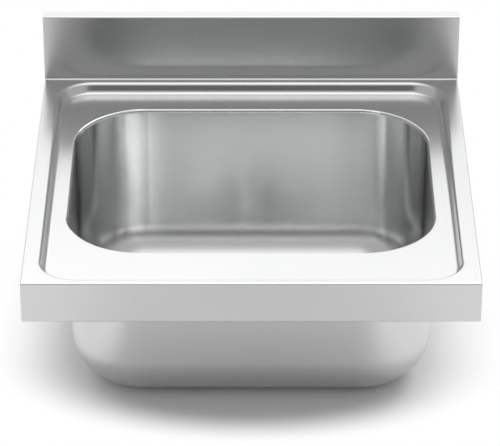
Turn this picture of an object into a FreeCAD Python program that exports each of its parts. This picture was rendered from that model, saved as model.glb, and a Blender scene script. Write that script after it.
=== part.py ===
import FreeCAD, Part
import math
import os
from FreeCAD import Vector

# Sink top of folded stainless sheet with a deep-drawn bowl, all sizes in millimetres.
# X runs to the right, Y to the wall and Z up. The origin is the centre of the four fixing
# holes, on the plane where the top rests on its base.

# Worktop sheet
top_width = 600.0
top_depth = 600.0
apron_height = 58.0
top_sheet = 1.2
bend_radius = 2.0
return_width = 30.0
return_seam = 0.6

# Upstand along the wall
upstand_height = 100.0
upstand_thickness = 20.0
upstand_lip = 25.0
cove_radius = 2.0

# Pressed recess that holds spilled water on the deck
recess_side_margin = 18.0
recess_front_margin = 8.5
recess_back_margin = 8.5
recess_corner = 53.0
recess_depth = 15.0
step_angle = 68.0
step_head_bend = 4.8
step_foot_bend = 7.5

# Collar of the deck, turned down into the bowl opening
collar_bend = 1.8
collar_drop = 3.2

# Opening for the bowl, measured inside the collar, and the deep-drawn bowl welded under it
bowl_length = 497.5
bowl_width = 404.0
bowl_depth = 243.5
bowl_setback = 108.0
bowl_corner = 100.0
bowl_draft = 0.5
bowl_bottom_radius = 65.0
bowl_sheet = 1.0
bowl_ledge = 0.7
bowl_edge_bend = 0.3
bowl_flange = 4.0
weld_gap = 0.1

# Dished floor with the sump for the waste
dish_radius = 112.0
dish_border = 4.0
dish_fall = 3.0
sump_radius = 60.0
sump_slope = 3.0
sump_depth = 4.0
sump_bend = 2.0
waste_hole_radius = 45.0

# Stiffeners, rail and gussets under the top
stiffener_sheet = 1.2
stiffener_height = 25.0
stiffener_flange = 9.0
stiffener_margin = 5.0
stiffener_end_gap = 40.0
stiffener_bend = 1.5
rail_clearance = 0.5
gusset_leg = 75.0
gusset_nose = 12.0
gusset_plate = 3.0
gusset_gap = 1.0
fixing_inset = 20.0
fixing_hole_radius = 4.5

# Sound-deadening pads under the bowl floor
pad_thickness = 2.0
pad_margin = 6.0
pad_length = 170.0
pad_corner = 8.0

# Strainer cup and its gaskets
gasket_overhang = 1.0
flange_radius = 57.0
flange_gasket_thickness = 1.5
cup_sheet = 1.0
cup_radius = 41.5
cup_depth = 30.5
cup_bend = 3.0
seat_height = 5.0
seat_inner_radius = 26.0
cup_hole_count = 6
cup_hole_radius = 5.0
cup_hole_circle = 16.5

# Waste housing with its threaded tail
body_gasket_thickness = 2.5
housing_clearance = 1.0
housing_wall = 3.5
housing_flange_thickness = 4.0
housing_flange_radius = 57.0
housing_throat_drop = 14.0
tail_radius = 23.9
tail_bore_radius = 19.5
tail_length = 22.0
boss_radius = 7.5
boss_length = 20.0
rib_thickness = 3.0
rib_count = 4

# Centre screw and the nut moulded into the housing
screw_radius = 3.0
screw_length = 19.0
screw_head_radius = 5.5
screw_head_height = 3.0
screw_clearance = 0.2
nut_across_flats = 10.0
nut_height = 5.0
nut_drop = 10.0

# Lift-out basket
basket_sheet = 0.8
basket_clearance = 1.0
basket_rim = 2.5
basket_rim_drop = 1.5
basket_taper = 5.0
basket_bend = 2.0
basket_hole_radius = 2.0
basket_hole_count = 18
basket_hole_rows = 2
seal_clearance = 0.3
seal_radius = 38.0
seal_flat_radius = 30.0
seal_thickness = 5.0
stem_radius = 3.5
stem_head_radius = 7.0
stem_head_height = 1.2
stem_head_recess = 2.4
stem_fit = 0.1
knob_radius = 9.0
knob_height = 9.0
knob_waist = 5.5
knob_edge = 2.0
knob_drop = 1.0
knob_bite = 5.0

# Levels and places worked out from the sizes above
half_width = top_width / 2
front_y = -top_depth / 2
wall_y = top_depth / 2
rim_z = apron_height
deck_z = rim_z - recess_depth
upstand_y = wall_y - upstand_thickness
upstand_top = rim_z + upstand_height
fold_y = upstand_y - cove_radius
bowl_y = front_y + bowl_setback + bowl_width / 2
collar_radius = collar_bend + top_sheet
bowl_top = deck_z - collar_drop
floor_z = deck_z - bowl_depth
sump_z = floor_z - dish_fall - sump_depth
flange_z = sump_z + flange_gasket_thickness + cup_sheet
cup_floor_z = flange_z - cup_depth
seat_slope = seat_height / (cup_radius - seat_inner_radius)
housing_z = sump_z - bowl_sheet - body_gasket_thickness
housing_bore = waste_hole_radius + housing_clearance
boss_z = cup_floor_z - cup_sheet
shoulder_z = boss_z - housing_clearance
throat_z = shoulder_z - housing_throat_drop
seal_z = cup_floor_z + seat_slope * (seal_flat_radius - seat_inner_radius) + seal_clearance
basket_z = seal_z + seal_thickness
knob_z = flange_z - knob_drop - knob_height


def rounded_path(points, radii):
    # Straight runs joined by tangent arcs, one radius for each inner point.
    edges = []
    last = points[0]
    for before, corner, after, radius in zip(points, points[1:], points[2:], radii):
        heading_in = (corner - before).normalize()
        heading_out = (after - corner).normalize()
        turn = heading_in.getAngle(heading_out)
        reach = radius * math.tan(turn / 2)
        start = corner - heading_in * reach
        end = corner + heading_out * reach
        middle = corner + (heading_out - heading_in).normalize() * (radius / math.cos(turn / 2) - radius)
        if (start - last).Length > 1e-6:
            edges.append(Part.makeLine(last, start))
        edges.append(Part.Arc(start, middle, end).toShape())
        last = end
    if (points[-1] - last).Length > 1e-6:
        edges.append(Part.makeLine(last, points[-1]))
    return edges


def bent_sheet(outline, thickness, inside_radii):
    # Cross-section of a bent sheet in the YZ plane. The outline follows one face of the sheet,
    # which lies to its left, and each bend is given by its inside radius.
    points = [Vector(0, across, up) for across, up in outline]
    headings = [(end - start).normalize() for start, end in zip(points, points[1:])]
    lefts = [Vector(0, -heading.z, heading.y) for heading in headings]
    far_points = [points[0] + lefts[0] * thickness]
    near_radii = []
    far_radii = []
    for index, radius in enumerate(inside_radii):
        left_in = lefts[index]
        left_out = lefts[index + 1]
        share = thickness / (1 + left_in.dot(left_out))
        far_points.append(points[index + 1] + (left_in + left_out) * share)
        turns_left = left_in.cross(left_out).x > 0
        near_radii.append(radius + thickness if turns_left else radius)
        far_radii.append(radius if turns_left else radius + thickness)
    far_points.append(points[-1] + lefts[-1] * thickness)
    edges = rounded_path(points, near_radii) + rounded_path(far_points, far_radii)
    edges.append(Part.makeLine(points[0], far_points[0]))
    edges.append(Part.makeLine(points[-1], far_points[-1]))
    return Part.Face(Part.Wire(Part.sortEdges(edges)[0]))


def section(outline):
    # Flat-sided cross-section in the YZ plane.
    corners = [Vector(0, across, up) for across, up in outline]
    return Part.Face(Part.makePolygon(corners + corners[:1]))


def turned(face, centre_y=0.0):
    # Round piece about the upright axis at centre_y.
    solid = face.revolve(Vector(0, 0, 0), Vector(0, 0, 1), 360)
    return solid.translated(Vector(0, centre_y, 0))


def drawn_along(face, start_x, end_x):
    return face.translated(Vector(start_x, 0, 0)).extrude(Vector(end_x - start_x, 0, 0))


def joined(pieces):
    return pieces[0].multiFuse(pieces[1:]).removeSplitter()


def block(low, high):
    size = high - low
    return Part.makeBox(size.x, size.y, size.z, low)


def rounded_block(half_x, half_y, corner, low_z, high_z, centre_y=0.0):
    # Upright block with four round corners.
    plain = block(Vector(-half_x, centre_y - half_y, low_z), Vector(half_x, centre_y + half_y, high_z))
    upright = [edge for edge in plain.Edges if abs(edge.tangentAt(edge.FirstParameter).z) > 0.9]
    return plain.makeFillet(corner, upright)


def round_ring(face, half_x, half_y, corner, centre_y):
    # Section drawn round a rectangle with round corners: two runs, two quarter turns, then
    # the same again half a turn on.
    run_x = half_x - corner
    run_y = half_y - corner
    upward = Vector(0, 0, 1)
    at_corner = face.translated(Vector(run_x, 0, 0))
    at_side = at_corner.rotated(Vector(run_x, -run_y, 0), upward, 90)
    at_end = at_side.translated(Vector(0, 2 * run_y, 0))
    half = [
        drawn_along(face, -run_x, run_x),
        at_corner.revolve(Vector(run_x, -run_y, 0), upward, 90),
        at_side.extrude(Vector(0, 2 * run_y, 0)),
        at_end.revolve(Vector(run_x, run_y, 0), upward, 90),
    ]
    other = [piece.rotated(Vector(0, 0, 0), upward, 180) for piece in half]
    return joined(half + other).translated(Vector(0, centre_y, 0))


def around(piece, count, centre_y):
    # Copies of a piece at even steps about the upright axis at centre_y.
    axis = Vector(0, centre_y, 0)
    return [piece.rotated(axis, Vector(0, 0, 1), step * 360 / count) for step in range(count)]


def folded_block(inset):
    # Outer form of the top, or its inner form one sheet further in, open at the fold line.
    low = Vector(-half_width + inset, front_y + inset, inset)
    high = Vector(half_width - inset, fold_y, rim_z - inset)
    plain = block(low, high)
    folds = [edge for edge in plain.Edges if edge.BoundBox.YMin < fold_y - 1e-6]
    return plain.makeFillet(bend_radius - inset, folds)


def upstand_section():
    # From the foot of the back lip, over the top and down the front to the deck.
    outline = [
        (wall_y, upstand_top - upstand_lip),
        (wall_y, upstand_top),
        (upstand_y, upstand_top),
        (upstand_y, rim_z),
        (fold_y, rim_z),
    ]
    fold = bend_radius - top_sheet
    return bent_sheet(outline, top_sheet, [fold, fold, cove_radius])


def step_reach():
    # Distance from the rim's inner edge to the start of the slope, its foot and the flat deck.
    tangent = math.tan(math.radians(step_angle / 2))
    head = (step_head_bend + top_sheet) * tangent
    foot = head + recess_depth / math.tan(math.radians(step_angle))
    return head, foot, foot + step_foot_bend * tangent


recess_half_x = half_width - recess_side_margin
recess_half_y = (upstand_y - recess_back_margin - front_y - recess_front_margin) / 2
recess_y = front_y + recess_front_margin + recess_half_y
collar_half_x = bowl_length / 2 + collar_radius
collar_half_y = bowl_width / 2 + collar_radius
flange_reach = top_sheet + bowl_flange
bowl_half_x = bowl_length / 2 + flange_reach
bowl_half_y = bowl_width / 2 + flange_reach
bowl_flange_corner = bowl_corner + flange_reach
deck_half_x = recess_half_x - step_reach()[2]
deck_half_y = recess_half_y - step_reach()[2]
deck_front_y = recess_y - deck_half_y
deck_back_y = recess_y + deck_half_y


def recess():
    # Sloping step round the recess, its flat deck and the collar round the bowl opening.
    head, foot, reach = step_reach()
    edge_y = -recess_half_y
    outline = [
        (edge_y + reach, deck_z),
        (edge_y + foot, deck_z),
        (edge_y + head, rim_z),
        (edge_y, rim_z),
    ]
    profile = bent_sheet(outline, top_sheet, [step_foot_bend, step_head_bend])
    step = round_ring(profile, recess_half_x, recess_half_y, recess_corner, recess_y)
    low_z = deck_z - top_sheet
    deck = rounded_block(deck_half_x, deck_half_y, recess_corner - reach, low_z, deck_z, recess_y)
    corner = bowl_corner + collar_radius
    opening = rounded_block(collar_half_x, collar_half_y, corner, low_z, deck_z, bowl_y)
    collar_outline = [
        (-bowl_width / 2, bowl_top),
        (-bowl_width / 2, deck_z),
        (-collar_half_y, deck_z),
    ]
    collar_profile = bent_sheet(collar_outline, top_sheet, [collar_bend])
    collar = round_ring(collar_profile, collar_half_x, collar_half_y, corner, bowl_y)
    return [step, deck.cut(opening), collar]


def fixing_holes():
    reach_x = half_width - fixing_inset
    reach_y = wall_y - fixing_inset
    places = [(side_x * reach_x, side_y * reach_y) for side_x in (-1, 1) for side_y in (-1, 1)]
    height = top_sheet + gusset_plate
    return [Part.makeCylinder(fixing_hole_radius, height, Vector(x, y, 0)) for x, y in places]


def worktop():
    shell = folded_block(0).cut(folded_block(top_sheet))
    inner_x = half_width - return_width
    flat_x = half_width - bend_radius
    front_end = front_y + return_width
    rail_front = wall_y - return_width
    underside = block(Vector(-inner_x, front_end, 0), Vector(inner_x, fold_y, top_sheet))
    front_seam = block(Vector(-flat_x, front_end, 0), Vector(flat_x, front_end + return_seam, top_sheet))
    rail_seat = block(Vector(-flat_x, rail_front - return_seam, 0), Vector(flat_x, fold_y, top_sheet))
    low_z = rim_z - top_sheet
    opening = rounded_block(recess_half_x, recess_half_y, recess_corner, low_z, rim_z, recess_y)
    tray = shell.cut([underside, front_seam, rail_seat, opening] + fixing_holes())
    upstand = drawn_along(upstand_section(), -half_width, half_width)
    return joined([tray, upstand] + recess())


def upstand_end(side):
    # Plate that closes the end of the upstand and of the fold behind it.
    outer_x = side * half_width
    inner_x = side * (half_width - top_sheet)
    low = Vector(min(outer_x, inner_x), fold_y, 0)
    high = Vector(max(outer_x, inner_x), wall_y - top_sheet, upstand_top - top_sheet)
    upstand = drawn_along(upstand_section(), -half_width, half_width)
    pieces = block(low, high).cut(upstand).Solids
    return max(pieces, key=lambda piece: piece.Volume)


def rear_rail():
    # Channel under the back of the deck: it closes the rear and carries the rear fixings.
    lap_y = upstand_y - recess_back_margin + rail_clearance
    outline = [
        (lap_y, rim_z - top_sheet),
        (wall_y, rim_z - top_sheet),
        (wall_y, 0),
        (wall_y - return_width, 0),
    ]
    outline.reverse()
    fold = bend_radius - top_sheet
    reach = half_width - bend_radius - weld_gap
    rail = drawn_along(bent_sheet(outline, top_sheet, [fold, fold]), -reach, reach)
    return rail.cut(fixing_holes())


def stiffener(low_y, high_y):
    # Hat section welded under the deck, as wide as the strip beside the bowl allows.
    near = low_y + stiffener_margin
    far = high_y - stiffener_margin
    top = deck_z - top_sheet
    foot = top - stiffener_height
    outline = [
        (near, top - stiffener_sheet),
        (near + stiffener_flange, top - stiffener_sheet),
        (near + stiffener_flange, foot),
        (far - stiffener_flange, foot),
        (far - stiffener_flange, top - stiffener_sheet),
        (far, top - stiffener_sheet),
    ]
    reach = deck_half_x - stiffener_end_gap
    profile = bent_sheet(outline, stiffener_sheet, [stiffener_bend] * 4)
    return drawn_along(profile, -reach, reach)


def gusset(side_x, side_y):
    # Corner plate on the return folds, with a cut-off nose at each end of its long side.
    corner_x = half_width - top_sheet - gusset_gap
    corner_y = wall_y - top_sheet - gusset_gap
    corners = [
        (corner_x, corner_y),
        (corner_x - gusset_leg, corner_y),
        (corner_x - gusset_leg, corner_y - gusset_nose),
        (corner_x - gusset_nose, corner_y - gusset_leg),
        (corner_x, corner_y - gusset_leg),
    ]
    points = [Vector(side_x * x, side_y * y, top_sheet) for x, y in corners]
    plate = Part.Face(Part.makePolygon(points + points[:1])).extrude(Vector(0, 0, gusset_plate))
    return plate.cut(fixing_holes())


def bowl_reaches():
    # Distance from the edge of the flange to the head of the wall, its foot and the flat floor.
    wall_head = flange_reach + bowl_ledge
    wall_foot = wall_head + (bowl_top - floor_z) * math.tan(math.radians(bowl_draft))
    return wall_head, wall_foot, wall_foot + bowl_bottom_radius


floor_half_x = bowl_half_x - bowl_reaches()[2]
floor_half_y = bowl_half_y - bowl_reaches()[2]


def bowl():
    wall_head, wall_foot, flat = bowl_reaches()
    edge_y = -bowl_half_y
    outline = [
        (edge_y + flat, floor_z),
        (edge_y + wall_foot, floor_z),
        (edge_y + wall_head, bowl_top),
        (edge_y, bowl_top),
    ]
    profile = bent_sheet(outline, bowl_sheet, [bowl_bottom_radius, bowl_edge_bend])
    wall = round_ring(profile, bowl_half_x, bowl_half_y, bowl_flange_corner, bowl_y)
    low_z = floor_z - bowl_sheet
    corner = bowl_flange_corner - flat
    floor = rounded_block(floor_half_x, floor_half_y, corner, low_z, floor_z, bowl_y)
    dish_edge = dish_radius + dish_border
    opening = Part.makeCylinder(dish_edge, bowl_sheet, Vector(0, bowl_y, low_z))
    dish_outline = [
        (dish_edge, floor_z),
        (dish_radius, floor_z),
        (sump_radius + sump_slope, floor_z - dish_fall),
        (sump_radius, sump_z),
        (waste_hole_radius, sump_z),
    ]
    dish = turned(bent_sheet(dish_outline, bowl_sheet, [sump_bend] * 3), bowl_y)
    return joined([wall, floor.cut(opening), dish])


def sound_pad(side):
    # Flat pad beside the dished middle of the floor.
    near = dish_radius + dish_border + pad_margin
    far = floor_half_x - pad_margin
    top = floor_z - bowl_sheet
    pad = rounded_block((far - near) / 2, pad_length / 2, pad_corner, top - pad_thickness, top, bowl_y)
    return pad.translated(Vector(side * (near + far) / 2, 0, 0))


def ring(inner, outer, low_z, high_z):
    profile = [(inner, low_z), (outer, low_z), (outer, high_z), (inner, high_z)]
    return turned(section(profile), bowl_y)


def flange_gasket():
    inner = waste_hole_radius + gasket_overhang
    return ring(inner, flange_radius - gasket_overhang, sump_z, sump_z + flange_gasket_thickness)


def body_gasket():
    outer = housing_flange_radius - gasket_overhang
    return ring(housing_bore, outer, housing_z, housing_z + body_gasket_thickness)


def strainer_cup():
    # Flange, straight wall, conical seat for the stopper and a floor with drain holes.
    outline = [
        (flange_radius, flange_z),
        (cup_radius, flange_z),
        (cup_radius, cup_floor_z + seat_height),
        (seat_inner_radius, cup_floor_z),
        (screw_radius + screw_clearance, cup_floor_z),
    ]
    cup = turned(bent_sheet(outline, cup_sheet, [cup_bend, cup_bend, cup_bend]), bowl_y)
    place = Vector(cup_hole_circle, bowl_y, boss_z)
    hole = Part.makeCylinder(cup_hole_radius, cup_sheet, place)
    return cup.cut(around(hole, cup_hole_count, bowl_y))


def waste_housing():
    # Moulded pot that narrows to the threaded tail, with a ribbed boss for the centre screw.
    outer = housing_bore + housing_wall
    outline = [
        (housing_bore, housing_z),
        (housing_flange_radius, housing_z),
        (housing_flange_radius, housing_z - housing_flange_thickness),
        (outer, housing_z - housing_flange_thickness),
        (outer, shoulder_z - housing_wall),
        (tail_radius, throat_z - housing_wall),
        (tail_radius, throat_z - housing_wall - tail_length),
        (tail_bore_radius, throat_z - housing_wall - tail_length),
        (tail_bore_radius, throat_z),
        (housing_bore, shoulder_z),
    ]
    pot = turned(section(outline), bowl_y)
    boss = ring(0, boss_radius, boss_z - boss_length, boss_z)
    rib_low = block(
        Vector(0, bowl_y - rib_thickness / 2, boss_z - boss_length),
        Vector(tail_bore_radius + housing_wall / 2, bowl_y + rib_thickness / 2, throat_z),
    )
    body = joined([pot, boss] + around(rib_low, rib_count, bowl_y))
    nut_pocket = boss_nut_form(0)
    return body.cut([screw_hole(boss_z - boss_length), nut_pocket])


def screw_hole(low_z):
    radius = screw_radius + screw_clearance
    return Part.makeCylinder(radius, cup_floor_z - low_z, Vector(0, bowl_y, low_z))


def boss_nut_form(clearance):
    # Hexagon prism in the boss.
    across_corners = (nut_across_flats / 2 + clearance) / math.cos(math.radians(30))
    points = []
    for step in range(7):
        angle = math.radians(60 * step)
        points.append(Vector(across_corners * math.cos(angle), bowl_y + across_corners * math.sin(angle),
                             boss_z - nut_drop - nut_height))
    return Part.Face(Part.makePolygon(points)).extrude(Vector(0, 0, nut_height))


def boss_nut():
    return boss_nut_form(0).cut(screw_hole(boss_z - boss_length))


def centre_screw():
    # Pan-head screw that draws the cup down on the bowl.
    head_z = cup_floor_z + screw_head_height
    outline = [
        (0, cup_floor_z - screw_length),
        (screw_radius, cup_floor_z - screw_length),
        (screw_radius, cup_floor_z),
        (screw_head_radius, cup_floor_z),
        (screw_head_radius, cup_floor_z + screw_head_height / 2),
        (screw_head_radius / 2, head_z),
        (0, head_z),
    ]
    return turned(section(outline), bowl_y)


def strainer_basket():
    # Tapered perforated cup with a turned-out rim.
    top_radius = cup_radius - basket_clearance - basket_rim
    foot_radius = top_radius - basket_taper
    rim = flange_z - basket_rim_drop
    outline = [
        (top_radius + basket_rim, rim),
        (top_radius, rim),
        (foot_radius, basket_z + basket_sheet),
        (stem_radius + stem_fit, basket_z + basket_sheet),
    ]
    cup = turned(bent_sheet(outline, basket_sheet, [basket_bend, basket_bend]), bowl_y)
    spacing = (rim - basket_z) / (basket_hole_rows + 1)
    holes = []
    for row in range(basket_hole_rows):
        place = Vector(foot_radius - basket_bend, bowl_y, basket_z + spacing * (row + 1))
        drill = Part.makeCylinder(basket_hole_radius, basket_taper + 2 * basket_bend, place, Vector(1, 0, 0))
        drill = drill.rotated(Vector(0, bowl_y, 0), Vector(0, 0, 1), 180 * row / basket_hole_count)
        holes = holes + around(drill, basket_hole_count, bowl_y)
    return cup.cut(holes)


def basket_seal():
    # Soft stopper under the basket, coned to match its seat and hollowed for the stem's head.
    edge_z = seal_z + seat_slope * (seal_radius - seal_flat_radius)
    hollow = stem_head_radius + stem_fit
    bore = stem_radius + stem_fit
    ceiling = seal_z + stem_head_recess + stem_head_height
    outline = [
        (hollow, seal_z),
        (seal_flat_radius, seal_z),
        (seal_radius, edge_z),
        (seal_radius, basket_z),
        (bore, basket_z),
        (bore, ceiling),
        (hollow, ceiling),
    ]
    return turned(section(outline), bowl_y)


def basket_stem():
    # Post through basket and seal, headed over below.
    head_z = seal_z + stem_head_recess
    outline = [
        (0, head_z),
        (stem_head_radius, head_z),
        (stem_head_radius, head_z + stem_head_height),
        (stem_radius, head_z + stem_head_height),
        (stem_radius, knob_z + knob_bite),
        (0, knob_z + knob_bite),
    ]
    return turned(section(outline), bowl_y)


def basket_knob():
    # Turned pull knob with a rounded crown, bored for the stem.
    top = knob_z + knob_height
    profile = section([
        (stem_radius + stem_fit, knob_z),
        (knob_waist, knob_z),
        (knob_radius, top - knob_height / 2),
        (knob_radius, top),
        (0, top),
        (0, knob_z + knob_bite),
        (stem_radius + stem_fit, knob_z + knob_bite),
    ])
    knob = turned(profile, bowl_y)
    crown = [edge for edge in knob.Edges if edge.BoundBox.ZMin > top - 1e-3 and edge.Closed]
    return knob.makeFillet(knob_edge, crown)


bowl_front_y = bowl_y - bowl_half_y
bowl_back_y = bowl_y + bowl_half_y

nodes = {
    "worktop": worktop(),
    "upstand_end_left": upstand_end(-1),
    "upstand_end_right": upstand_end(1),
    "rear_rail": rear_rail(),
    "front_stiffener": stiffener(deck_front_y, bowl_front_y),
    "rear_stiffener": stiffener(bowl_back_y, deck_back_y),
    "gusset_front_left": gusset(-1, -1),
    "gusset_front_right": gusset(1, -1),
    "gusset_rear_left": gusset(-1, 1),
    "gusset_rear_right": gusset(1, 1),
    "bowl": bowl(),
    "sound_pad_left": sound_pad(-1),
    "sound_pad_right": sound_pad(1),
    "strainer_cup": strainer_cup(),
    "flange_gasket": flange_gasket(),
    "body_gasket": body_gasket(),
    "waste_housing": waste_housing(),
    "boss_nut": boss_nut(),
    "centre_screw": centre_screw(),
    "strainer_basket": strainer_basket(),
    "basket_seal": basket_seal(),
    "basket_stem": basket_stem(),
    "basket_knob": basket_knob(),
}

os.makedirs("parts", exist_ok=True)
for name, shape in nodes.items():
    shape.exportStep("parts/" + name + ".step")
    box = shape.BoundBox
    print(name, shape.isValid(), len(shape.Solids), round(shape.Volume), box)
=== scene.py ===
import bpy
import bmesh
import math
import numpy as np
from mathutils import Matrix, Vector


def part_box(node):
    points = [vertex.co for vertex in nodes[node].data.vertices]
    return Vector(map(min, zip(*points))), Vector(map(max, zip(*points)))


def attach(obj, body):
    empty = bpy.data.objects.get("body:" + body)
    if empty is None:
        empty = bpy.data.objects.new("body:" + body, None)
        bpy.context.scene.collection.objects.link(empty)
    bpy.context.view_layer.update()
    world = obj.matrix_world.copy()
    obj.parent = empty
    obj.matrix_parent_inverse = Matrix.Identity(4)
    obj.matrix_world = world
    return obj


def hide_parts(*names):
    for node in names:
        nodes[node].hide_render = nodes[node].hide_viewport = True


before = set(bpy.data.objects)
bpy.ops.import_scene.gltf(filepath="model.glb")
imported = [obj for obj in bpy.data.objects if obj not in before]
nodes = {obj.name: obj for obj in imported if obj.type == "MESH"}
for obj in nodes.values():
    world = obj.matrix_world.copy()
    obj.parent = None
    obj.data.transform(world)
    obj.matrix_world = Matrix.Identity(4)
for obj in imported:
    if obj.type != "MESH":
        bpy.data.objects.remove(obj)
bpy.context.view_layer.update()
print("frame loaded:", len(nodes), "nodes")

mmPerM = 1000.0
wasteY = 0.01  # axis of the waste, in metres


def linear(hexColour):
    # sRGB hex to linear RGBA
    srgb = [int(hexColour[i:i + 2], 16) / 255 for i in (1, 3, 5)]
    rgb = [c / 12.92 if c <= 0.04045 else ((c + 0.055) / 1.055) ** 2.4 for c in srgb]
    return (*rgb, 1.0)


def addNode(tree, kind, inputs=None, **settings):
    # settings are the node's own properties, inputs are sockets to link or plain values;
    # sockets that share a name go by number: in a Mix node 4 and 5 are its vectors, 6 and 7 its colours
    node = tree.nodes.new(kind)
    for name, value in settings.items():
        setattr(node, name, value)
    for key, value in (inputs or {}).items():
        if isinstance(value, bpy.types.NodeSocket):
            tree.links.new(value, node.inputs[key])
        else:
            node.inputs[key].default_value = value
    return node


def newMaterial(name):
    material = bpy.data.materials.new(name)
    material.use_nodes = True
    material.node_tree.nodes.clear()
    return material, material.node_tree


def dress(piece, material):
    piece.data.materials.clear()
    piece.data.materials.append(material)


noiseSpan = {"From Min": 0.3, "From Max": 0.7}  # nearly all values of a noise lie between these

# ground stainless steel: the grit leaves fine lines from front to back, which draw reflections out sideways
satin = {
    "colour": "#d7d7d7", "worn": "#d0d1d1", "roughness": 0.23, "grainRoughness": 0.012,
    "smudgeRoughness": 0.02, "anisotropy": 0.5, "lineMm": 0.5, "runMm": 80.0, "reliefMm": 0.00025,
    "smudgeMm": 140.0, "linesRound": False, "turnedAbove": 0.7, "sideways": (0.97, 0.25, 0.0),
}
# the same steel drawn into a bowl and ground by hand: shorter lines that run round the bowl
drawn = dict(satin, roughness=0.2, anisotropy=0.75, runMm=45.0, smudgeMm=90.0, linesRound=True)
# cold-rolled sheet as it leaves the mill: greyer, cloudy, almost no lines
mill = dict(satin, colour="#b4b5b4", worn="#a3a4a3", roughness=0.34, grainRoughness=0.03,
            smudgeRoughness=0.10, anisotropy=0.2, lineMm=2.0, runMm=160.0, reliefMm=0.001, smudgeMm=30.0)


def sheetSteel(name, look):
    material, tree = newMaterial(name)
    place = addNode(tree, "ShaderNodeTexCoord").outputs["Object"]
    normal = addNode(tree, "ShaderNodeNewGeometry").outputs["Normal"]

    # lines run from front to back and down the faces, or level round the walls and across the floor;
    # real ones are 0.05 mm wide, too fine to show, and turnedAbove is the cosine from which a face has turned
    thin, run = mmPerM / look["lineMm"], mmPerM / look["runMm"]
    mainScale, turnedBy = ((run, run, thin), "Z") if look["linesRound"] else ((thin, run, run), "X")
    mainWay = addNode(tree, "ShaderNodeMapping", {"Vector": place, "Scale": mainScale})
    turnedWay = addNode(tree, "ShaderNodeMapping", {"Vector": place, "Scale": (run, thin, run)})
    facing = addNode(tree, "ShaderNodeSeparateXYZ", {"Vector": normal})
    outward = addNode(tree, "ShaderNodeMath", {0: facing.outputs[turnedBy]}, operation="ABSOLUTE")
    isTurned = addNode(tree, "ShaderNodeMath", {0: outward.outputs[0], 1: look["turnedAbove"]},
                       operation="GREATER_THAN")
    way = addNode(tree, "ShaderNodeMix", {
        0: isTurned.outputs[0], 4: mainWay.outputs["Vector"], 5: turnedWay.outputs["Vector"]},
        data_type="VECTOR")
    grain = addNode(tree, "ShaderNodeTexNoise", {"Vector": way.outputs[1], "Scale": 1.0, "Detail": 3.0})
    smudge = addNode(tree, "ShaderNodeTexNoise", {
        "Vector": place, "Scale": mmPerM / look["smudgeMm"], "Detail": 3.0})

    # grain roughens it evenly both ways about the middle, smudges dull it in patches
    middle = look["roughness"] - look["smudgeRoughness"] / 2
    lines = addNode(tree, "ShaderNodeMapRange", {
        "Value": grain.outputs["Fac"], **noiseSpan,
        "To Min": middle - look["grainRoughness"], "To Max": middle + look["grainRoughness"]})
    gloss = addNode(tree, "ShaderNodeMath", {
        0: smudge.outputs["Fac"], 1: look["smudgeRoughness"], 2: lines.outputs["Result"]},
        operation="MULTIPLY_ADD")
    tint = addNode(tree, "ShaderNodeMix", {
        0: smudge.outputs["Fac"], 6: linear(look["colour"]), 7: linear(look["worn"])}, data_type="RGBA")
    relief = addNode(tree, "ShaderNodeBump", {
        "Height": grain.outputs["Fac"], "Distance": look["reliefMm"] / mmPerM})

    # reflections draw out along the tangent: down the walls of the bowl, sideways on the rest;
    # sideways is a little off X, so that walls that face X have a tangent too
    tangent = addNode(tree, "ShaderNodeVectorMath", {0: normal, 1: look["sideways"]},
                      operation="CROSS_PRODUCT").outputs["Vector"]
    if not look["linesRound"]:
        tangent = addNode(tree, "ShaderNodeVectorMath", {0: normal, 1: tangent},
                          operation="CROSS_PRODUCT").outputs["Vector"]
    shader = addNode(tree, "ShaderNodeBsdfPrincipled", {
        "Base Color": tint.outputs[2], "Metallic": 1.0, "Roughness": gloss.outputs[0],
        "Anisotropic": look["anisotropy"], "Tangent": tangent, "Normal": relief.outputs["Normal"]})
    addNode(tree, "ShaderNodeOutputMaterial", {"Surface": shader.outputs["BSDF"]})
    return material


# turned and polished stainless steel: bright, with faint rings left by the lathe
polished = {"colour": "#cfd0cf", "roughness": 0.13, "ringRoughness": 0.05, "ringMm": 1.2, "wobble": 3.0}


def turnedSteel(name, look):
    material, tree = newMaterial(name)
    place = addNode(tree, "ShaderNodeTexCoord").outputs["Object"]
    centred = addNode(tree, "ShaderNodeMapping", {"Vector": place, "Location": (0.0, -wasteY, 0.0)})
    ringAtOne = 2 * math.pi / 20  # width of a ring at scale 1, where a wave has 20 radians to the unit
    rings = addNode(tree, "ShaderNodeTexWave", {
        "Vector": centred.outputs["Vector"], "Scale": ringAtOne / (look["ringMm"] / mmPerM),
        "Distortion": look["wobble"], "Detail": 2.0}, wave_type="RINGS", rings_direction="Z")
    gloss = addNode(tree, "ShaderNodeMapRange", {
        "Value": rings.outputs["Fac"],
        "To Min": look["roughness"], "To Max": look["roughness"] + look["ringRoughness"]})
    shader = addNode(tree, "ShaderNodeBsdfPrincipled", {
        "Base Color": linear(look["colour"]), "Metallic": 1.0, "Roughness": gloss.outputs["Result"]})
    addNode(tree, "ShaderNodeOutputMaterial", {"Surface": shader.outputs["BSDF"]})
    return material


# moulded EPDM rubber: near black, dull, with a fine grain from the mould
rubber = {"colour": "#1c1c1d", "pale": "#2a2a2b", "roughness": 0.72, "spread": 0.10,
          "grainMm": 0.5, "cloudMm": 12.5, "reliefMm": 0.03}
# butyl sheet stuck under the bowl: dark grey, matt, with a coarse pressed grain
butyl = {"colour": "#2b2c2f", "pale": "#3b3c40", "roughness": 0.82, "spread": 0.08,
         "grainMm": 2.2, "cloudMm": 55.0, "reliefMm": 0.25}
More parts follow.
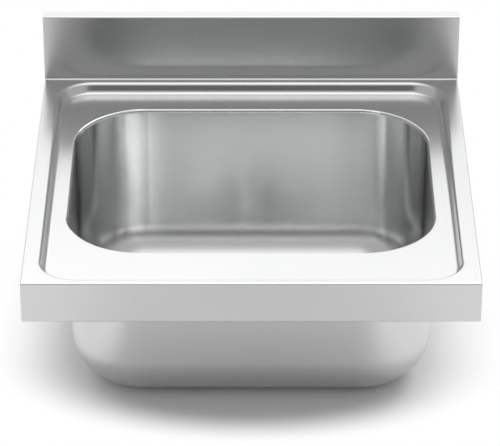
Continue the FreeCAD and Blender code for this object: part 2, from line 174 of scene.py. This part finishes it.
# injection-moulded polypropylene: off-white, waxy, with a fine spark-eroded texture
polypropylene = {"colour": "#d6d6d1", "pale": "#e2e2dd", "roughness": 0.42, "spread": 0.08,
                 "grainMm": 0.7, "cloudMm": 17.5, "reliefMm": 0.02}


def moulded(name, look):
    material, tree = newMaterial(name)
    place = addNode(tree, "ShaderNodeTexCoord").outputs["Object"]
    grain = addNode(tree, "ShaderNodeTexNoise", {
        "Vector": place, "Scale": mmPerM / look["grainMm"], "Detail": 3.0})
    cloud = addNode(tree, "ShaderNodeTexNoise", {
        "Vector": place, "Scale": mmPerM / look["cloudMm"], "Detail": 2.0})
    tint = addNode(tree, "ShaderNodeMix", {
        0: cloud.outputs["Fac"], 6: linear(look["colour"]), 7: linear(look["pale"])}, data_type="RGBA")
    gloss = addNode(tree, "ShaderNodeMapRange", {
        "Value": grain.outputs["Fac"], **noiseSpan,
        "To Min": look["roughness"] - look["spread"], "To Max": look["roughness"] + look["spread"]})
    relief = addNode(tree, "ShaderNodeBump", {
        "Height": grain.outputs["Fac"], "Distance": look["reliefMm"] / mmPerM})
    shader = addNode(tree, "ShaderNodeBsdfPrincipled", {
        "Base Color": tint.outputs[2], "Roughness": gloss.outputs["Result"], "IOR": 1.5,
        "Normal": relief.outputs["Normal"]})
    addNode(tree, "ShaderNodeOutputMaterial", {"Surface": shader.outputs["BSDF"]})
    return material


finishes = {
    "satin ground stainless steel": (sheetSteel, satin, ["worktop", "upstand_end_left", "upstand_end_right"]),
    "hand-ground drawn stainless steel": (sheetSteel, drawn, ["bowl"]),
    "mill-finish stainless sheet": (sheetSteel, mill, [
        "rear_rail", "front_stiffener", "rear_stiffener", "gusset_front_left", "gusset_front_right",
        "gusset_rear_left", "gusset_rear_right", "boss_nut"]),
    "turned polished stainless steel": (turnedSteel, polished, [
        "strainer_cup", "centre_screw", "strainer_basket", "basket_stem", "basket_knob"]),
    "moulded EPDM rubber": (moulded, rubber, ["flange_gasket", "body_gasket", "basket_seal"]),
    "pressed butyl sheet": (moulded, butyl, ["sound_pad_left", "sound_pad_right"]),
    "moulded polypropylene": (moulded, polypropylene, ["waste_housing"]),
}
made = {}
for name, (maker, look, wearers) in finishes.items():
    made[name] = maker(name, look)
    for wearer in wearers:
        dress(nodes[wearer], made[name])
print("finishes:", len(made))


def gridQuads(rows, columns, closed):
    # corner numbers of a grid's faces; columns run round, and a closed grid joins its last row to the first
    i = np.arange(rows if closed else rows - 1)[:, None]
    j = np.arange(columns)[None, :]
    below, beside = (i + 1) % rows, (j + 1) % columns
    corners = [i * columns + j, i * columns + beside, below * columns + beside, below * columns + j]
    return np.stack(np.broadcast_arrays(*corners), axis=-1).reshape(-1, 4)


def aroundAngles(columns):
    return np.linspace(0, 2 * math.pi, columns, endpoint=False)[None, :]


meshing = {"mergeWithin": 1e-6, "sharpFrom": 35.0}  # metres and degrees


def addPiece(name, points, quads, finish):
    # a smooth mesh with its doubles merged and its faces outwards, riding on the sink
    mesh = bpy.data.meshes.new(name)
    mesh.from_pydata(points.reshape(-1, 3).tolist(), [], quads.tolist())
    shape = bmesh.new()
    shape.from_mesh(mesh)
    bmesh.ops.remove_doubles(shape, verts=shape.verts, dist=meshing["mergeWithin"])
    bmesh.ops.recalc_face_normals(shape, faces=shape.faces)
    shape.to_mesh(mesh)
    shape.free()
    mesh.shade_smooth()
    mesh.set_sharp_from_angle(angle=math.radians(meshing["sharpFrom"]))
    piece = bpy.data.objects.new(name, mesh)
    bpy.context.scene.collection.objects.link(piece)
    dress(piece, finish)
    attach(piece, "sink")
    return piece


# moulded housing of the waste with the thread of its tail, in mm from the axis and up;
# edges are rounded over 0.6 mm, or over a share of the side where that is less
housing = {
    "body": [(46, -211), (57, -211), (57, -215), (49.5, -215), (49.5, -241), (23.9, -255)],
    "tail": {"radius": 23.9, "top": -255.6, "foot": -277.0},
    "inside": [(19.5, -277), (19.5, -251.5), (46, -237.5)],
    "thread": {"pitch": 2.309, "depth": 1.35, "rows": 120, "steep": 1.6, "flat": 0.3},
    "boss": [(3.2, -236.5), (7.5, -236.5), (7.5, -256.5), (3.2, -256.5)],
    "rib": {"half": 1.5, "from": 6.5, "to": 20.5, "low": -256.5, "high": -251.5, "count": 4},
    "edge": 0.6, "edgeShare": 0.4, "edgePoints": 5, "columns": 192, "bossColumns": 64,
}


def softened(corners):
    # each corner of a closed profile becomes a curve: (1-t)^2 before + 2t(1-t) corner + t^2 after
    corners = np.array(corners, float)
    t = np.linspace(0, 1, housing["edgePoints"])[None, :, None]
    curve = corners[:, None]
    for neighbour, weight in ((1, (1 - t) ** 2), (-1, t ** 2)):
        side = np.roll(corners, neighbour, axis=0) - corners
        length = np.linalg.norm(side, axis=1)[:, None]
        side *= np.minimum(housing["edge"], housing["edgeShare"] * length) / length
        curve = curve + weight * side[:, None]
    return curve.reshape(-1, 2)


def spun(radius, height, columns):
    # rows of a profile turned about the waste's axis: (r cos a, r sin a, z), mm to metres
    angle = aroundAngles(columns)
    x, y = radius * np.cos(angle), radius * np.sin(angle)
    points = np.stack(np.broadcast_arrays(x, y, height), axis=-1) / mmPerM
    return points + np.array([0.0, wasteY, 0.0])


def makeHousing():
    tail, thread, columns = housing["tail"], housing["thread"], housing["columns"]
    outline = softened(housing["body"] + [(tail["radius"], tail["foot"])] + housing["inside"])
    bodyRows = housing["edgePoints"] * len(housing["body"])
    upper, lower = outline[:bodyRows], outline[bodyRows:]
    # thread: a ridge that climbs one pitch each turn and fades out over a pitch at both ends,
    # clip(steep |2 frac(z / pitch - turn) - 1| - flat) of its depth
    z = np.linspace(tail["top"], tail["foot"] + housing["edge"], thread["rows"])[:, None]
    turn = np.linspace(0, 1, columns, endpoint=False)[None, :]
    zigzag = np.abs(2 * ((z / thread["pitch"] - turn) % 1) - 1)
    ridge = np.clip(thread["steep"] * zigzag - thread["flat"], 0, 1)
    fade = np.clip(np.minimum(z - z[-1], z[0] - z) / thread["pitch"], 0, 1)
    crest = tail["radius"] - thread["depth"] * (1 - ridge) * fade
    radius = np.concatenate([np.repeat(upper[:, :1], columns, 1), crest, np.repeat(lower[:, :1], columns, 1)])
    height = np.concatenate([upper[:, 1:], z, lower[:, 1:]])
    points = spun(radius, height, columns)
    quads = gridQuads(len(points), columns, True)
    pot = addPiece("waste_housing_pot", points, quads, made["moulded polypropylene"])
    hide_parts("waste_housing")

    # boss for the centre screw, on ribs across the tail: blocks turned about the axis
    boss = softened(housing["boss"])
    bossPoints = spun(boss[:, :1], boss[:, 1:], housing["bossColumns"]).reshape(-1, 3)
    bossQuads = gridQuads(len(boss), housing["bossColumns"], True)
    rib = housing["rib"]
    up, side, out = [corner.reshape(1, -1) for corner in np.meshgrid(
        [rib["low"], rib["high"]], [-rib["half"], rib["half"]], [rib["from"], rib["to"]], indexing="ij")]
    angle = aroundAngles(rib["count"]).T
    x, y = out * np.cos(angle) - side * np.sin(angle), out * np.sin(angle) + side * np.cos(angle)
    ribPoints = np.stack(np.broadcast_arrays(x, y + wasteY * mmPerM, up), axis=-1).reshape(-1, 3) / mmPerM
    block = np.array([[0, 2, 3, 1], [4, 5, 7, 6], [0, 1, 5, 4], [2, 6, 7, 3], [0, 4, 6, 2], [1, 3, 7, 5]])
    ribQuads = (block + out.size * np.arange(rib["count"])[:, None, None]).reshape(-1, 4)
    points = np.concatenate([bossPoints, ribPoints])
    quads = np.concatenate([bossQuads, ribQuads + len(bossPoints)])
    core = addPiece("waste_housing_boss", points, quads, made["moulded polypropylene"])
    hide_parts("waste_housing")


makeHousing()

# spot welds under the stiffeners: dull straw-coloured dimples with a raised edge, in mm
weldLook = dict(mill, colour="#aaa497", worn="#8d8678", roughness=0.40, smudgeMm=3.0)
weld = {"radius": 2.6, "height": 0.16, "dip": 0.7, "dipWidth": 0.4, "sunk": 0.2,
        "pitch": 50.0, "inset": 4.5, "sheet": 1.2, "columns": 16}


def makeWelds():
    # dimple: height (1 - f^2) (1 - dip e^(-(f / dipWidth)^2)) below the flange, f from the middle to the edge
    f = np.array([0.0, 0.2, 0.4, 0.6, 0.8, 1.0, 1.0, 0.0])[:, None]
    drop = weld["height"] * (1 - f ** 2) * (1 - weld["dip"] * np.exp(-(f / weld["dipWidth"]) ** 2))
    drop[-2:] = -weld["sunk"]  # the back of each weld lies inside the flange
    angle = aroundAngles(weld["columns"])
    x, y = weld["radius"] * f * np.cos(angle), weld["radius"] * f * np.sin(angle)
    dimple = np.stack(np.broadcast_arrays(x, y, -drop), axis=-1)
    centres = []
    for name in ("front_stiffener", "rear_stiffener"):
        lowest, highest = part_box(name)
        reach = highest.x * mmPerM - weld["inset"]
        x = np.arange(-reach // weld["pitch"] + 1, reach // weld["pitch"] + 1) * weld["pitch"]
        z = highest.z * mmPerM - weld["sheet"]
        for y in (lowest.y * mmPerM + weld["inset"], highest.y * mmPerM - weld["inset"]):
            centres.append(np.stack(np.broadcast_arrays(x, y, z), axis=-1))
    centres = np.concatenate(centres)
    points = (centres[:, None, None] + dimple) / mmPerM
    quads = gridQuads(len(f), weld["columns"], False)
    allQuads = (quads + len(f) * weld["columns"] * np.arange(len(centres))[:, None, None]).reshape(-1, 4)
    finish = sheetSteel("spot-welded stainless steel", weldLook)
    addPiece("stiffener_spot_welds", points, allQuads, finish)


makeWelds()
print("waste housing and spot welds made")

# pale floor: the sink stands on its bowl, as photographed, and the waste hangs through a round hole;
# past the shadow it turns white to the eye and in the steel, without lighting the sink, and to the eye this
# white is painted light over the front of the shadow too; its paint is greyer away from the bowl, as painted
# shade; metres
floorLook = {
    "reach": 30.0, "hole": 0.1, "columns": 96, "drop": 0.0005,
    # far is the greyer paint away from the bowl, a painted shade
    "colour": "#f1f1f1", "far": "#dadada", "farFrom": 0.3, "farTo": 0.7,
    "middleY": 0.094, "halfDepth": 0.156, "depthSteel": 0.3, "depthEye": 1.68,
    "whiteFrom": 0.24, "whiteTo": 0.37,
}
white = "#ffffff"


def floorPaint(name):
    material, tree = newMaterial(name)
    place = addNode(tree, "ShaderNodeTexCoord").outputs["Object"]
    ray = addNode(tree, "ShaderNodeLightPath")
    # distance past the shadow: sqrt(x^2 + (depth * max(|y - middleY| - halfDepth, 0))^2)
    spot = addNode(tree, "ShaderNodeSeparateXYZ", {"Vector": place})
    fromMiddle = addNode(tree, "ShaderNodeMath", {0: spot.outputs["Y"], 1: floorLook["middleY"]},
                         operation="SUBTRACT")
    away = addNode(tree, "ShaderNodeMath", {0: fromMiddle.outputs[0]}, operation="ABSOLUTE")
    beyond = addNode(tree, "ShaderNodeMath", {0: away.outputs[0], 1: floorLook["halfDepth"]},
                     operation="SUBTRACT")
    outside = addNode(tree, "ShaderNodeMath", {0: beyond.outputs[0], 1: 0.0}, operation="MAXIMUM")
    # painted light: to the eye the white glow starts nearer in front than in the steel, over the front part
    # of the sink's shadow; further out it is an even white backdrop
    depth = addNode(tree, "ShaderNodeMapRange", {
        "Value": ray.outputs["Is Camera Ray"],
        "To Min": floorLook["depthSteel"], "To Max": floorLook["depthEye"]})
    counted = addNode(tree, "ShaderNodeMath", {0: outside.outputs[0], 1: depth.outputs["Result"]},
                      operation="MULTIPLY")
    offset = addNode(tree, "ShaderNodeCombineXYZ", {"X": spot.outputs["X"], "Y": counted.outputs[0]})
    past = addNode(tree, "ShaderNodeVectorMath", {0: offset.outputs["Vector"]}, operation="LENGTH")
    whiteness = addNode(tree, "ShaderNodeMapRange", {
        "Value": past.outputs["Value"], "From Min": floorLook["whiteFrom"], "From Max": floorLook["whiteTo"]},
        interpolation_type="SMOOTHSTEP")
    mirrored = addNode(tree, "ShaderNodeMath", {
        0: ray.outputs["Is Glossy Ray"], 1: ray.outputs["Is Transmission Ray"]}, operation="MAXIMUM")
    seen = addNode(tree, "ShaderNodeMath", {
        0: ray.outputs["Is Camera Ray"], 1: mirrored.outputs[0]}, operation="MAXIMUM")
    share = addNode(tree, "ShaderNodeMath", {0: seen.outputs[0], 1: whiteness.outputs["Result"]},
                    operation="MULTIPLY")
    # painted shade: the paint is a little greyer in front of the sink and behind it, away from the bowl,
    # standing in for light that falls off there
    paintedFalloff = addNode(tree, "ShaderNodeMapRange", {
        "Value": outside.outputs[0], "From Min": floorLook["farFrom"], "From Max": floorLook["farTo"]},
        interpolation_type="SMOOTHSTEP")
    shade = addNode(tree, "ShaderNodeMix", {
        0: paintedFalloff.outputs["Result"], 6: linear(floorLook["colour"]), 7: linear(floorLook["far"])},
        data_type="RGBA")
    paint = addNode(tree, "ShaderNodeBsdfDiffuse", {"Color": shade.outputs[2]})
    glow = addNode(tree, "ShaderNodeEmission", {"Color": linear(white), "Strength": 1.0})
    mixed = addNode(tree, "ShaderNodeMixShader", {
        0: share.outputs[0], 1: paint.outputs["BSDF"], 2: glow.outputs["Emission"]})
    addNode(tree, "ShaderNodeOutputMaterial", {"Surface": mixed.outputs["Shader"]})
    return material


def makeFloor():
    # two rings round the waste: (r cos a, r sin a, z)
    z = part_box("sound_pad_left")[0].z - floorLook["drop"]
    angle = aroundAngles(floorLook["columns"])
    r = np.array([floorLook["reach"], floorLook["hole"]])[:, None]
    points = np.stack(np.broadcast_arrays(r * np.cos(angle), r * np.sin(angle) + wasteY, z), axis=-1)
    quads = gridQuads(len(r), floorLook["columns"], False)
    mesh = bpy.data.meshes.new("floor")
    mesh.from_pydata(points.reshape(-1, 3).tolist(), [], quads.tolist())
    floor = bpy.data.objects.new("floor", mesh)
    bpy.context.scene.collection.objects.link(floor)
    dress(floor, floorPaint("matt white floor"))


makeFloor()

# camera of the photograph, matched on the folded edges of the top: metres, degrees and pixels of the photo
photo = {"place": (0.0, -3.8207, 2.1670), "pitch": 29.82, "focal": 3167.5, "width": 500, "centreX": 251.21,
         "sensorMm": 36.0, "sight": 80.0}


def makeCamera():
    camera = bpy.data.cameras.new("camera")
    camera.sensor_fit = "HORIZONTAL"
    camera.sensor_width = photo["sensorMm"]
    camera.lens = photo["focal"] / photo["width"] * photo["sensorMm"]
    camera.shift_x = (photo["width"] / 2 - photo["centreX"]) / photo["width"]
    camera.clip_end = photo["sight"]
    eye = bpy.data.objects.new("camera", camera)
    eye.location = photo["place"]
    eye.rotation_euler = (math.radians(90 - photo["pitch"]), 0.0, 0.0)
    bpy.context.scene.collection.objects.link(eye)
    bpy.context.scene.camera = eye


makeCamera()

# soft studio light: a pale room, dim behind the camera, with large diffusers above and behind the sink;
# azimuth turns from the back to the right, angles in degrees, levels as brightness of the diffuser
studio = {"room": 0.57, "dimFrom": 0.86, "dimTo": 0.99}
diffusers = {
    "overhead": {"azimuth": 60, "height": 86, "outer": 45, "inner": 5, "level": 0.7},
    "over the front": {"azimuth": 180, "height": 72, "outer": 30, "inner": 10, "level": 0.4},
    "back right": {"azimuth": 30, "height": 45, "outer": 25, "inner": 1, "level": 3.9},
    "back left": {"azimuth": -29, "height": 37, "outer": 32, "inner": 2, "level": 0.95},
    "back middle": {"azimuth": 0, "height": 40, "outer": 14, "inner": 4, "level": 0.6},
    "low back": {"azimuth": 5, "height": 11, "outer": 20, "inner": 3, "level": 1.2},
}


def makeStudio():
    world = bpy.data.worlds.new("studio")
    world.use_nodes = True
    tree = world.node_tree
    tree.nodes.clear()
    direction = addNode(tree, "ShaderNodeTexCoord").outputs["Generated"]
    depth = addNode(tree, "ShaderNodeSeparateXYZ", {"Vector": direction}).outputs["Y"]
    level = addNode(tree, "ShaderNodeMapRange", {
        "Value": depth, "From Min": -studio["dimTo"], "From Max": -studio["dimFrom"],
        "To Min": 0.0, "To Max": studio["room"]}, interpolation_type="SMOOTHSTEP").outputs["Result"]
    for diffuser in diffusers.values():
        # each is a round glow about its axis: full inside the inner angle, none past the outer one
        turn, rise, outer, inner = [
            math.radians(diffuser[angle]) for angle in ("azimuth", "height", "outer", "inner")]
        axis = (math.cos(rise) * math.sin(turn), math.cos(rise) * math.cos(turn), math.sin(rise))
        nearness = addNode(tree, "ShaderNodeVectorMath", {0: direction, 1: axis}, operation="DOT_PRODUCT")
        light = addNode(tree, "ShaderNodeMapRange", {
            "Value": nearness.outputs["Value"], "From Min": math.cos(outer), "From Max": math.cos(inner),
            "To Min": 0.0, "To Max": diffuser["level"]}, interpolation_type="SMOOTHSTEP").outputs["Result"]
        level = addNode(tree, "ShaderNodeMath", {0: level, 1: light}, operation="ADD").outputs[0]
    back = addNode(tree, "ShaderNodeBackground", {"Color": linear(white), "Strength": level})
    addNode(tree, "ShaderNodeOutputWorld", {"Surface": back.outputs["Background"]})
    bpy.context.scene.world = world


makeStudio()
bpy.context.scene.view_settings.view_transform = "Standard"
print("floor, camera and light set")
